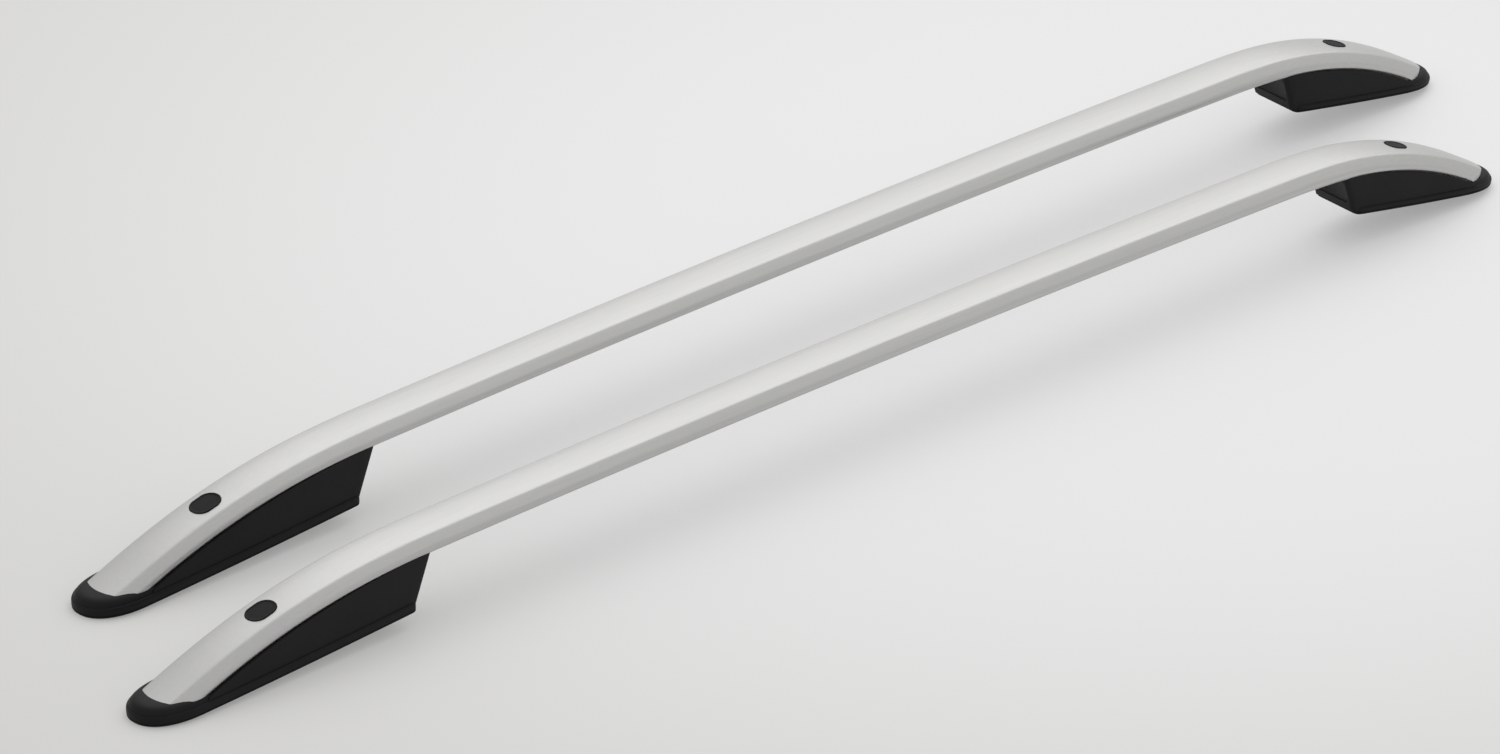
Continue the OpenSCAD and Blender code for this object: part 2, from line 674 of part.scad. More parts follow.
// Height of the tapped hole's upper end
function tapped_z(e) = base_z(e, plug_x[e] - tapped_gap) + gasket_t + tapped_l;
module bracket_side(e, x0, x1, d0, up) {
    polygon(concat(
        along(e, x0, x1, d0, 6),
        up > 0 ? flip(along(e, x0, x1, d0 + up, 6)) : [[x1, 0], [x0, 0]]
    ));
}
module bracket(e) {
    top = bar_h + bar_gap + foot_wall + clamp_gap;
    x0 = plug_x[e] - bracket_back;
    x1 = plug_x[e] + bracket_front;
    color("gainsboro")
        difference() {
            intersection() {
                union() {
                    side_plate(web_t / 2)
                        bracket_side(e, x0, x1, top, 0);
                    side_plate(bracket_w)
                        bracket_side(e, x0, x1, top, bracket_t);
                    upright(e, post_d, 0, seat_z(e));
                    translate([-tapped_gap, 0, 0])
                        upright(e, tapped_d + 2 * bracket_t, 0, tapped_z(e) + bracket_t);
                    on_base(e, 0, gasket_t + bracket_t)
                        translate([x0, -bracket_w])
                            square([x1 - x0, 2 * bracket_w]);
                }
                above_base(e, gasket_t + clamp_gap);
            }
            upright(e, bush_d + 2 * thread_gap, -tall, tall);
            translate([-tapped_gap, 0, 0])
                upright(e, tapped_d, -tall, tapped_z(e));
            bracket_screw_places(e)
                translate([0, 0, -tall])
                    cylinder(d = bracket_screw_d + 2 * hole_gap, h = tall);
        }
}
module bush(e) {
    color("lightsteelblue")
        difference() {
            union() {
                upright(e, bush_d, base_z(e, plug_x[e]) + bush_up, seat_z(e) + clamp_gap + bush_head_t);
                upright(e, bush_head_d, seat_z(e) + clamp_gap, seat_z(e) + clamp_gap + bush_head_t);
            }
            upright(e, mount_d, -tall, tall);
        }
}
module nut_plate(e) {
    x = plug_x[e] - bracket_screw_gap;
    top = bar_h - bar_wall - clamp_gap - plate_t;
    color("lightsteelblue")
        difference() {
            side_plate(rib_y - rib_t / 2 - plate_gap)
                bracket_side(e, x - plate_half, x + plate_half, top, plate_t);
            bracket_screw_places(e)
                cylinder(d = bracket_screw_d + 2 * thread_gap, h = tall, center = true);
        }
}
// A round-headed screw whose head lies against z = 0 from below
module screw(d, l) {
    cylinder(d = d, h = l);
    translate([0, 0, -d * head_t])
        cylinder(d = d * head_d, h = d * head_t);
}
module bracket_screws(e) {
    head_at = -bar_gap - foot_wall - 2 * clamp_gap - bracket_t;
    color("gray")
        bracket_screw_places(e)
            translate([0, 0, head_at])
                screw(bracket_screw_d, -head_at + bar_wall + plate_t + bracket_screw_past);
}
module foot_screws(e) {
    head_at = -bar_gap - foot_wall - clamp_gap;
    color("gray")
        foot_screw_places(e)
            translate([0, 0, head_at])
                screw(foot_screw_d, -head_at + bar_wall + foot_screw_past);
}

module rail_place(side) {
    translate([side * pair_stagger / 2 + centre_x, side * pair_gap / 2, 0])
        children();
}
module end_place(side, e) {
    rail_place(side)
        mirror_front(e)
            children();
}

rail_place(LEFT) bar();  // left_bar
rail_place(RIGHT) bar();  // right_bar
end_place(LEFT, FRONT) foot(FRONT);  // left_front_foot
end_place(LEFT, REAR) foot(REAR);  // left_rear_foot
end_place(RIGHT, FRONT) foot(FRONT);  // right_front_foot
end_place(RIGHT, REAR) foot(REAR);  // right_rear_foot
end_place(LEFT, FRONT) gasket(FRONT);  // left_front_gasket
end_place(LEFT, REAR) gasket(REAR);  // left_rear_gasket
end_place(RIGHT, FRONT) gasket(FRONT);  // right_front_gasket
end_place(RIGHT, REAR) gasket(REAR);  // right_rear_gasket
end_place(LEFT, FRONT) plug(FRONT);  // left_front_plug
end_place(LEFT, REAR) plug(REAR);  // left_rear_plug
end_place(RIGHT, FRONT) plug(FRONT);  // right_front_plug
end_place(RIGHT, REAR) plug(REAR);  // right_rear_plug
end_place(LEFT, FRONT) bracket(FRONT);  // left_front_bracket
end_place(LEFT, REAR) bracket(REAR);  // left_rear_bracket
end_place(RIGHT, FRONT) bracket(FRONT);  // right_front_bracket
end_place(RIGHT, REAR) bracket(REAR);  // right_rear_bracket
end_place(LEFT, FRONT) bush(FRONT);  // left_front_bush
end_place(LEFT, REAR) bush(REAR);  // left_rear_bush
end_place(RIGHT, FRONT) bush(FRONT);  // right_front_bush
end_place(RIGHT, REAR) bush(REAR);  // right_rear_bush
end_place(LEFT, FRONT) nut_plate(FRONT);  // left_front_nut_plate
end_place(LEFT, REAR) nut_plate(REAR);  // left_rear_nut_plate
end_place(RIGHT, FRONT) nut_plate(FRONT);  // right_front_nut_plate
end_place(RIGHT, REAR) nut_plate(REAR);  // right_rear_nut_plate
end_place(LEFT, FRONT) bracket_screws(FRONT);  // left_front_bracket_screws
end_place(LEFT, REAR) bracket_screws(REAR);  // left_rear_bracket_screws
end_place(RIGHT, FRONT) bracket_screws(FRONT);  // right_front_bracket_screws
end_place(RIGHT, REAR) bracket_screws(REAR);  // right_rear_bracket_screws
end_place(LEFT, FRONT) foot_screws(FRONT);  // left_front_foot_screws
end_place(LEFT, REAR) foot_screws(REAR);  // left_rear_foot_screws
end_place(RIGHT, FRONT) foot_screws(FRONT);  // right_front_foot_screws
end_place(RIGHT, REAR) foot_screws(REAR);  // right_rear_foot_screws
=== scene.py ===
# %% [markdown]
# # A pair of roof side rails
# Two bent silver bars, each sunk into a black moulded foot at both ends, lie side by side on pale ground.
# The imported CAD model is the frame: every piece already has its place there, in metres. This script gives the
# pieces their finishes, builds the ones that show with smoother skins, and sets up the ground, light and camera.

# %% Load the frame
import math
import bmesh
import bpy
from mathutils import Matrix, Vector


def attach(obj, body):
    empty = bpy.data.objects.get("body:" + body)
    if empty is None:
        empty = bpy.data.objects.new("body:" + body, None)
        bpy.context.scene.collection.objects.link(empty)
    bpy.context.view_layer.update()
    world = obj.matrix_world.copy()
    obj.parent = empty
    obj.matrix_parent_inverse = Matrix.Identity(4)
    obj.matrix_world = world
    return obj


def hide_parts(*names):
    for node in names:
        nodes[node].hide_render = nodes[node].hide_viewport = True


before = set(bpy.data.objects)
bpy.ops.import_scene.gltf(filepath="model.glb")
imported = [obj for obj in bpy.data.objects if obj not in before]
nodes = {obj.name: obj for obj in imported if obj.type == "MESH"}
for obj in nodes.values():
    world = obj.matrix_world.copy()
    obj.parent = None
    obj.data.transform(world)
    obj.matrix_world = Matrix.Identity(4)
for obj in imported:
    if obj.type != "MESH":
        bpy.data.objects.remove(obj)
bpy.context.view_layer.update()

# %% [markdown]
# ## Finishes
# A finish is a small node tree. All patterns read Object coordinates, which are metres here because each
# piece's object sits at the origin, so one helper can hang noise of any size in millimetres on any piece.

# %% Helpers for node trees
MM = 0.001


def new_finish(name, colour, roughness, metallic=0.0):
    """A material with one Principled shader, and the node tree to add to."""
    material = bpy.data.materials.new(name)
    material.use_nodes = True
    tree = material.node_tree
    shader = tree.nodes["Principled BSDF"]
    shader.inputs["Base Color"].default_value = (*colour, 1.0)
    shader.inputs["Roughness"].default_value = roughness
    shader.inputs["Metallic"].default_value = metallic
    return material, tree, shader


def noise(tree, grain_mm, stretch=(1.0, 1.0, 1.0), detail=3.0):
    """Noise whose lumps measure about grain_mm, longer along an axis where stretch is below 1."""
    place = tree.nodes.new("ShaderNodeTexCoord")
    scale = tree.nodes.new("ShaderNodeMapping")
    scale.inputs["Scale"].default_value = [s / (grain_mm * MM) for s in stretch]
    texture = tree.nodes.new("ShaderNodeTexNoise")
    texture.inputs["Scale"].default_value = 1.0
    texture.inputs["Detail"].default_value = detail
    tree.links.new(place.outputs["Object"], scale.inputs["Vector"])
    tree.links.new(scale.outputs["Vector"], texture.inputs["Vector"])
    return texture.outputs["Fac"]


def spread(tree, value, low, high):
    """Turns noise, which mostly lies between 0.3 and 0.7, into a value between low and high."""
    remap = tree.nodes.new("ShaderNodeMapRange")
    remap.inputs["From Min"].default_value = 0.3
    remap.inputs["From Max"].default_value = 0.7
    remap.inputs["To Min"].default_value = low
    remap.inputs["To Max"].default_value = high
    tree.links.new(value, remap.inputs["Value"])
    return remap.outputs["Result"]


def tint(tree, value, dark, light):
    """Colours between dark and light, by a value from 0 to 1."""
    mix = tree.nodes.new("ShaderNodeMix")
    mix.data_type = "RGBA"
    mix.inputs["A"].default_value = (*dark, 1.0)
    mix.inputs["B"].default_value = (*light, 1.0)
    tree.links.new(value, mix.inputs["Factor"])
    return mix.outputs["Result"]


def bump(tree, shader, height, depth_mm, strength=1.0):
    """Roughens the surface by a height pattern that is depth_mm deep."""
    node = tree.nodes.new("ShaderNodeBump")
    node.inputs["Distance"].default_value = depth_mm * MM
    node.inputs["Strength"].default_value = strength
    tree.links.new(height, node.inputs["Height"])
    tree.links.new(node.outputs["Normal"], shader.inputs["Normal"])


# %% Satin silver of the bars
satin_silver, tree, shader = new_finish("satin_silver", (0.56, 0.557, 0.55), 0.48, 0.9)
drawn = noise(tree, 1.2, (0.02, 1.0, 1.0))
fine = noise(tree, 0.35)
tree.links.new(tint(tree, spread(tree, drawn, 0, 1), (0.545, 0.542, 0.535), (0.575, 0.572, 0.565)),
               shader.inputs["Base Color"])
tree.links.new(spread(tree, fine, 0.45, 0.51), shader.inputs["Roughness"])
bump(tree, shader, fine, 0.004)
print("silver: lines drawn along the bar, roughness 0.45 to 0.51")

# %% Black moulded plastic of the feet
foot_black, tree, shader = new_finish("foot_black", (0.005, 0.005, 0.0053), 0.55)
shader.inputs["Specular IOR Level"].default_value = 0.2
grain, mottle = noise(tree, 0.7, detail=2.0), noise(tree, 40)
tree.links.new(tint(tree, spread(tree, mottle, 0, 1), (0.004, 0.004, 0.0043), (0.006, 0.006, 0.0063)),
               shader.inputs["Base Color"])
tree.links.new(spread(tree, grain, 0.48, 0.62), shader.inputs["Roughness"])
bump(tree, shader, grain, 0.03)
print("foot plastic: grain 0.7 mm, 0.03 mm deep")

# %% Rubber, plug plastic, castings and plated steel
gasket_black, tree, shader = new_finish("gasket_black", (0.006, 0.006, 0.006), 0.75)
shader.inputs["Specular IOR Level"].default_value = 0.2
bump(tree, shader, noise(tree, 1.5), 0.03)

plug_black, tree, shader = new_finish("plug_black", (0.006, 0.006, 0.0063), 0.6)
shader.inputs["Specular IOR Level"].default_value = 0.2
grain = noise(tree, 0.45, detail=2.0)
tree.links.new(spread(tree, grain, 0.52, 0.68), shader.inputs["Roughness"])
bump(tree, shader, grain, 0.02)

cast_grey, tree, shader = new_finish("cast_grey", (0.56, 0.57, 0.58), 0.55, 1.0)
skin = noise(tree, 1.0)
tree.links.new(spread(tree, skin, 0.45, 0.65), shader.inputs["Roughness"])
bump(tree, shader, skin, 0.05)

zinc_steel, tree, shader = new_finish("zinc_steel", (0.6, 0.6, 0.62), 0.35, 1.0)
cloud = noise(tree, 6)
tree.links.new(tint(tree, spread(tree, cloud, 0, 1), (0.55, 0.56, 0.6), (0.66, 0.65, 0.62)),
               shader.inputs["Base Color"])
print("finishes:", len(bpy.data.materials))

# %% Give each node its finish
finish_of = {
    "bar": satin_silver, "foot": foot_black, "gasket": gasket_black, "plug": plug_black, "bracket": cast_grey,
    "bush": zinc_steel, "nut_plate": zinc_steel, "bracket_screws": zinc_steel, "foot_screws": zinc_steel,
}
for name, thing in nodes.items():
    kind = name.split("_", 1)[1].removeprefix("front_").removeprefix("rear_")
    thing.data.materials.clear()
    thing.data.materials.append(finish_of[kind])
print("nodes with a finish:", len(nodes))

# %% [markdown]
# ## The bar's crown line
# Seen from the side, a bar is one long shallow arch, a gentle curve and a tighter bend towards each end, and a
# short straight tip. The CAD model states each stretch by its radius and angle, so the same line is worked out
# here from the same numbers. Both ends are reckoned towards +x, in millimetres from mid length, and the front
# end is mirrored at the last step, which keeps every helper the same for both.

# %% The bar's numbers
TIP_X = 705.5
CROWN_Z = 83.0
ARCH_R = 25000.0
TIP_L = 30.0
PEAK_X = 165.0
RAIL_Y, RAIL_SHIFT = 84.0, 44.0
BAR_W, BAR_H, BAR_WALL = 50.0, 15.5, 2.2
RIB_T, RIB_Y = 2.0, 13.0
SEAT_RISE = 1.5


class End:
    """One end of a rail: its bends, its foot and its plug, in millimetres and degrees."""

    def __init__(self, name, sign, bends, heel_in, plug_in, tilt, nose_l, rest_in, slant, deck_h, flange_h,
                 heel_out, plug_size):
        """Places are given from the bar's tip; with heel_out 1 the foot's rims stand out at the heel too."""
        self.name, self.sign = name, sign
        self.ease_r, self.ease_a, self.bend_r, self.bend_a = bends
        self.peak = PEAK_X * sign
        self.heel, self.bore = TIP_X - heel_in, TIP_X - plug_in
        self.nose, self.rest = TIP_X + nose_l, TIP_X + rest_in
        self.heel_screws, self.nose_screws = self.heel + 12, self.bore + 33
        self.tilt = math.radians(tilt)
        self.slant, self.heel_out = slant, heel_out
        self.deck_h, self.flange_h, self.plug_size = deck_h, flange_h, plug_size
        self.rim_h = 0.85 * deck_h
        self.arcs = self.find_arcs()
        self.cup = self.find_cup()

    def find_arcs(self):
        """The arch, the gentle curve and the bend, each as centre x, centre z, radius and last slope."""
        a1, a2 = math.radians(self.ease_a), math.radians(self.ease_a + self.bend_a)
        start = 0.0
        for _ in range(5):
            reach = (self.ease_r * (math.sin(start + a1) - math.sin(start))
                     + self.bend_r * (math.sin(start + a2) - math.sin(start + a1)) + TIP_L * math.cos(start + a2))
            start = math.asin((TIP_X - self.peak - reach) / ARCH_R)
        centre = Vector((self.peak, CROWN_Z - ARCH_R))
        arcs = [(centre, ARCH_R, start)]
        for radius, slope in ((self.ease_r, start + a1), (self.bend_r, start + a2)):
            last, last_r, at = arcs[-1]
            arcs.append((last + (last_r - radius) * Vector((math.sin(at), math.cos(at))), radius, slope))
        return arcs

    def stations(self, past):
        """Points along the crown line as x, z and slope, from the arch's peak to past the tip."""
        out, before = [], 0.0
        for (centre, radius, slope), step in zip(self.arcs, (20.0, 6.0, 5.0)):
            count = math.ceil(radius * (slope - before) / step)
            out += [(before + (slope - before) * i / count, centre, radius) for i in range(count)]
            before = slope
        line = [(c.x + r * math.sin(a), c.y + r * math.cos(a), a) for a, c, r in out]
        centre, radius, slope = self.arcs[-1]
        for along in (0.0, TIP_L / 2, TIP_L, TIP_L + past):
            line.append((centre.x + radius * math.sin(slope) + along * math.cos(slope),
                         centre.y + radius * math.cos(slope) - along * math.sin(slope), slope))
        return line

    def line_z(self, x, depth):
        """Height of the line that lies the given depth under the crown line."""
        for centre, radius, slope in self.arcs:
            if x < centre.x + (radius - depth) * math.sin(slope):
                return centre.y + math.sqrt((radius - depth) ** 2 - (x - centre.x) ** 2)
        at_x = centre.x + (radius - depth) * math.sin(slope)
        at_z = centre.y + (radius - depth) * math.cos(slope)
        return at_z - (x - at_x) * math.tan(slope)

    def slope(self, x):
        """Slope of the crown line at x, as an angle downwards."""
        for centre, radius, last in self.arcs[1:]:
            if x < centre.x + radius * math.sin(last):
                return math.asin((x - centre.x) / radius)
        return last

    def base_z(self, x):
        """Height of the foot's sloping base."""
        return (self.rest - x) * math.tan(self.tilt)

    def on_base(self, x, y, height):
        """A point at a height square to the sloping base."""
        dx = x - self.rest
        return Vector((self.rest + dx * math.cos(self.tilt) + height * math.sin(self.tilt), y,
                       -dx * math.sin(self.tilt) + height * math.cos(self.tilt)))

    def find_cup(self):
        """Where the top of the foot's walls has come down into the rim of the domed nose."""
        low, high = self.heel, TIP_X
        for _ in range(30):
            x = (low + high) / 2
            if self.line_z(x, BAR_H - SEAT_RISE) > self.base_z(x) + self.rim_h - 1:
                low = x
            else:
                high = x
        return x


FRONT = End("front", -1, bends=(1040, 3.5, 660, 16.6), heel_in=247.5, plug_in=106, tilt=3.0, nose_l=24.0,
            rest_in=29.0, slant=17.0, deck_h=14.5, flange_h=8.6, heel_out=1.0, plug_size=(28.0, 20.5))
REAR = End("rear", 1, bends=(715, 3.4, 335, 28.3), heel_in=161.5, plug_in=94.5, tilt=9.5, nose_l=1.0,
           rest_in=10.5, slant=9.0, deck_h=10.0, flange_h=6.0, heel_out=0.0, plug_size=(20.5, 16.0))
PAIR_MIDDLE = (FRONT.rest - REAR.rest) / 2
SIDES = {"left": Vector((PAIR_MIDDLE - RAIL_SHIFT, -RAIL_Y, 0)), "right": Vector((PAIR_MIDDLE + RAIL_SHIFT, RAIL_Y, 0))}
print("front cup at", round(FRONT.cup, 1), "rear cup at", round(REAR.cup, 1))

# %% [markdown]
# ## Meshes from rings, and cutting one with another
# The feet, gaskets and plugs are all outlines stacked on each other, so a helper skins a stack of rings into a
# closed solid. Holes and seats are cut as a machinist would, with a boolean, whose manifold solver keeps every
# solid closed. Pieces are worked on in millimetres near mid length, and only the finished mesh is scaled to
# metres, mirrored for the front end and moved to its rail.

# %% Helpers for solids


def make_object(name, mesh):
    thing = bpy.data.objects.new(name, mesh)
    bpy.context.scene.collection.objects.link(thing)
    return thing


def solid(name, rings):
    """A closed solid through rings of points; each ring starts and ends where it crosses the middle plane."""
    mesh = bpy.data.meshes.new(name)
    work = bmesh.new()
    count = len(rings[0])
    skin = [[work.verts.new(p) for p in ring] for ring in rings]
    for below, above in zip(skin, skin[1:]):
        for i in range(count):
            j = (i + 1) % count
            work.faces.new((below[i], below[j], above[j], above[i]))
    half = count // 2
    for ring in (skin[0], skin[-1]):
        work.faces.new((ring[0], ring[1], ring[-1]))
        for i in range(1, half - 1):
            work.faces.new((ring[i], ring[i + 1], ring[-i - 1], ring[-i]))
        work.faces.new((ring[half - 1], ring[half], ring[half + 1]))
    bmesh.ops.recalc_face_normals(work, faces=work.faces)
    work.to_mesh(mesh)
    work.free()
    return make_object(name, mesh)


def both_sides(half):
    """Closes half a ring, from middle plane to middle plane, with its mirror image."""
    return half + [Vector((p[0], -p[1], *p[2:])) for p in reversed(half[1:-1])]


def round_bar(name, radius, low, high, matrix=None):
    """A cylinder between two heights, moved by a matrix."""
    turns = [math.tau * i / 48 for i in range(48)]
    ring = [Vector((radius * math.cos(a), radius * math.sin(a), 0)) for a in turns]
    rings = [[p + Vector((0, 0, z)) for p in ring] for z in (low, high)]
    thing = solid(name, rings)
    if matrix is not None:
        thing.data.transform(matrix)
    return thing


def combine(thing, other, how):
    """Joins another solid to this one, or cuts it off, and removes the other."""
    step = thing.modifiers.new(how, "BOOLEAN")
    step.operation, step.solver, step.object = how, "MANIFOLD", other
    graph = bpy.context.evaluated_depsgraph_get()
    result = bpy.data.meshes.new_from_object(thing.evaluated_get(graph))
    thing.modifiers.clear()
    old, thing.data = thing.data, result
    bpy.data.meshes.remove(old)
    bpy.data.objects.remove(other)
    return thing


SLIVER = 0.002


def drop_slivers(mesh):
    """Merges points that a cut left almost on each other, and drops the faces without area between them."""
    work = bmesh.new()
    work.from_mesh(mesh)
    bmesh.ops.remove_doubles(work, verts=work.verts, dist=SLIVER)
    bmesh.ops.dissolve_degenerate(work, edges=work.edges, dist=SLIVER)
    work.to_mesh(mesh)
    work.free()


def smooth(mesh, degrees):
    """Shades a mesh smoothly except over edges sharper than the angle."""
    mesh.polygons.foreach_set("use_smooth", [True] * len(mesh.polygons))
    mesh.set_sharp_from_angle(angle=math.radians(degrees))


made = {}


def place(master, name, kind, slot, side, end=None):
    """Puts a copy of a master solid at its rail and end in metres, and has it stand for its CAD node."""
    mesh = master.data.copy()
    if end is not None and end.sign < 0:
        mesh.transform(Matrix.Diagonal((-1, 1, 1, 1)))
        mesh.flip_normals()
    mesh.transform(Matrix.Scale(MM, 4) @ Matrix.Translation(SIDES[side]))
    mesh.materials.clear()
    mesh.materials.append(finish_of[kind])
    piece = make_object(name, mesh)
    node = "_".join([side] + ([end.name] if end is not None else []) + [kind])
    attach(piece, "root")
    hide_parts(node)
    made[name] = sum(len(p.vertices) - 2 for p in mesh.polygons)
    return piece


# %% [markdown]
# ## Bars
# A real bar is one extruded length, bent at both ends. A Geometry Nodes tree does the same: it takes the crown
# line as its path and sweeps a section along it, scaled to the bar's width and height. The hollow's three cells
# are swept with the same tree and cut out of it, so the walls and ribs are as thick as on the CAD bar.

# %% The sweeping tree


def sweep_tree():
    """A tree that sweeps the section object's outline along the path, and fills the ends."""
    tree = bpy.data.node_groups.new("sweep_section", "GeometryNodeTree")
    face = tree.interface
    face.new_socket("Path", in_out="INPUT", socket_type="NodeSocketGeometry")
    for title, kind in (("Section", "NodeSocketObject"), ("Width", "NodeSocketFloat"), ("Height", "NodeSocketFloat"),
                        ("Finish", "NodeSocketMaterial")):
        face.new_socket(title, in_out="INPUT", socket_type=kind)
    face.new_socket("Bar", in_out="OUTPUT", socket_type="NodeSocketGeometry")
    new, join = tree.nodes.new, tree.links.new
    given, result = new("NodeGroupInput"), new("NodeGroupOutput")
    path, upright = new("GeometryNodeMeshToCurve"), new("GeometryNodeSetCurveNormal")
    upright.mode = "Z_UP"
    outline, section = new("GeometryNodeObjectInfo"), new("GeometryNodeMeshToCurve")
    size = new("GeometryNodeTransform")
    scale, sweep = new("ShaderNodeCombineXYZ"), new("GeometryNodeCurveToMesh")
    sweep.inputs["Fill Caps"].default_value = True
    real, paint = new("GeometryNodeRealizeInstances"), new("GeometryNodeSetMaterial")
    join(given.outputs["Path"], path.inputs[0])
    join(path.outputs[0], upright.inputs["Curve"])
    join(given.outputs["Section"], outline.inputs["Object"])
    join(outline.outputs["Geometry"], section.inputs[0])
    join(given.outputs["Width"], scale.inputs["X"])
    join(given.outputs["Height"], scale.inputs["Y"])
    scale.inputs["Z"].default_value = 1.0
    join(scale.outputs[0], size.inputs["Scale"])
    join(section.outputs[0], size.inputs["Geometry"])
    join(upright.outputs["Curve"], sweep.inputs["Curve"])
    join(size.outputs["Geometry"], sweep.inputs["Profile Curve"])
    join(sweep.outputs["Mesh"], real.inputs["Geometry"])
    join(real.outputs["Geometry"], paint.inputs["Geometry"])
    join(given.outputs["Finish"], paint.inputs["Material"])
    join(paint.outputs["Geometry"], result.inputs["Bar"])
    return tree


SWEEP = sweep_tree()
print("sweep tree inputs:", [s.name for s in SWEEP.interface.items_tree if s.in_out == "INPUT"])

# %% The bar's outlines


def arc(centre, radius, first, last, count=8):
    angles = [math.radians(first + (last - first) * i / count) for i in range(count + 1)]
    return [(centre[0] + radius * math.cos(a), centre[1] + radius * math.sin(a)) for a in angles]


def bar_half(grow=0.0):
    """Half the outline as y, z from the crown: crown, shoulder, side and lower corner."""
    crown = [(y, grow - 0.45 * (y / 10) ** 2) for y in (0, 2.5, 5, 7.5, 10)]
    return (crown + arc((BAR_W / 2 - 10.5, -6.2), 5 + grow, 81, 48) + arc((BAR_W / 2 - 5, -11.2), 5 + grow, 47, -15)
            + arc((BAR_W / 2 - 4, 3 - BAR_H), 3 + grow, -12, -90) + [(0, -BAR_H - grow)])


def crown_under(y):
    """Height of the hollow's roof at a distance from the middle plane."""
    return -BAR_WALL - 0.45 * (y / 10) ** 2 if y < 10 else -BAR_WALL - 0.45 - (y - 10) * 0.12


def mirrored(half):
    return half + [(-y, z) for y, z in reversed(half[1:-1])]


CELL_FLOOR = BAR_WALL - BAR_H
inner, outer = RIB_Y - RIB_T / 2, RIB_Y + RIB_T / 2
middle_cell = mirrored([(0, -BAR_WALL), (inner, crown_under(inner)), (inner, CELL_FLOOR), (0, CELL_FLOOR)])
side_cell = [(outer, crown_under(outer))] + bar_half(-BAR_WALL)[6:-1] + [(outer, CELL_FLOOR)]
print("outline points: bar", len(mirrored(bar_half())), "middle cell", len(middle_cell), "side cell", len(side_cell))


def section_object(name, outline):
    """The outline as a ring of edges, drawn for a bar one wide and one high."""
    mesh = bpy.data.meshes.new(name)
    count = len(outline)
    points = [(y / BAR_W, -z / BAR_H, 0) for y, z in outline]
    mesh.from_pydata(points, [(i, (i + 1) % count) for i in range(count)], [])
    return make_object(name, mesh)


# %% Sweep, cut and place the bars


def rail_path(past):
    """The whole rail's crown line as a chain of edges, past both tips by a length."""
    front, rear = FRONT.stations(past), REAR.stations(past)
    points = [(-x, 0, z) for x, z, _ in reversed(front)] + [(x, 0, z) for x, z, _ in rear]
    points = [p for p, q in zip(points, points[1:] + [(9e9, 0, 0)]) if q[0] > p[0] + 0.5]
    mesh = bpy.data.meshes.new("crown_line")
    mesh.from_pydata(points, [(i, i + 1) for i in range(len(points) - 1)], [])
    return mesh


def swept(name, outline, past):
    """A closed solid with this outline along the whole rail."""
    path = make_object(name, rail_path(past))
    section = section_object(name + "_section", outline)
    step = path.modifiers.new("sweep", "NODES")
    step.node_group = SWEEP
    values = {"Section": section, "Width": BAR_W, "Height": BAR_H, "Finish": satin_silver}
    for socket in SWEEP.interface.items_tree:
        if socket.in_out == "INPUT" and socket.name in values:
            step[socket.identifier] = values[socket.name]
    graph = bpy.context.evaluated_depsgraph_get()
    mesh = bpy.data.meshes.new_from_object(path.evaluated_get(graph))
    path.modifiers.clear()
    path.data = mesh
    bpy.data.objects.remove(section)
    work = bmesh.new()
    work.from_mesh(mesh)
    bmesh.ops.remove_doubles(work, verts=work.verts, dist=1e-5)
    bmesh.ops.recalc_face_normals(work, faces=work.faces)
    work.to_mesh(mesh)
    work.free()
    return path


# %% [markdown]
# ## Outlines of the feet
# Seen from above, a foot is narrow at its heel, widens to just beyond the bar, and ends in a blunt round nose.
# One helper gives half of that outline, grown or shrunk by any amount, and every stack of rings uses it.

# %% Foot outlines
HEEL_W, NOSE_W, ROUND_L, ROUND_N, HEEL_CORNER = 23.6, 27.6, 46.0, 2.25, 4.0
GASKET_T, GASKET_OUT, FOOT_LOW, FLANGE_OUT, FOOT_WALL = 2.5, 1.4, 2.6, 1.6, 3.0
BAR_GAP, CUP_WALL, NOSE_WALL, CUP_BACK = 0.25, 1.8, 10.0, 30.0
SIDE_STEPS, ROUND_STEPS, CORNER_STEPS = 40, 16, 5


def half_width(end, x):
    """Half the foot's width at x, which grows quickly behind the heel and slowly near the nose."""
    share = min(1.0, max(0.0, (x - end.heel) / (end.nose - ROUND_L - end.heel)))
    return HEEL_W + (NOSE_W - HEEL_W) * math.sin(math.pi / 2 * share)


def plan(end, heel, grow=0.0, stop=None, nose_in=0.0):
    """Half the outline from the heel's middle to the nose, or to a straight cut at stop.

    Grow widens it all round, and nose_in draws only its nose in.
    """
    corner = max(0.6, HEEL_CORNER + grow)
    start = heel - grow + corner
    out = [(heel - grow, 0.0)]
    for i in range(CORNER_STEPS + 1):
        a = math.pi / 2 * i / CORNER_STEPS
        out.append((start - corner * math.cos(a), half_width(end, heel) + grow - corner * (1 - math.sin(a))))
    last = end.nose - ROUND_L if stop is None else stop
    for i in range(1, SIDE_STEPS + 1):
        x = start + (last - start) * i / SIDE_STEPS
        out.append((x, half_width(end, x) + grow))
    if stop is not None:
        return out + [(stop, 0.0)]
    for i in range(1, ROUND_STEPS + 1):
        a = math.pi / 2 * i / ROUND_STEPS
        out.append((last + (ROUND_L + grow - nose_in) * math.sin(a) ** (2 / ROUND_N),
                    0.0 if i == ROUND_STEPS else (NOSE_W + grow) * math.cos(a) ** (2 / ROUND_N)))
    return out


def level(end, heel, grow, height, nose_in=0.0):
    """The outline as a ring at one height square to the base."""
    return both_sides([end.on_base(x, y, height) for x, y in plan(end, heel, grow, None, nose_in)])


def rounded(end, heel, grow, low, high, radius, inset=None, power=1.0):
    """Rings of a plate whose upper edge is rounded; a power below 1 makes the edge fuller."""
    inset = radius if inset is None else inset
    rings = [level(end, heel, grow, low), level(end, heel, grow, high - radius)]
    for i in range(1, 9):
        a = math.pi / 2 * i / 8
        fall, rise = max(0.0, math.cos(a)) ** power, math.sin(a) ** power
        rings.append(level(end, heel, grow - inset * (1 - fall), high - radius * (1 - rise)))
    return rings


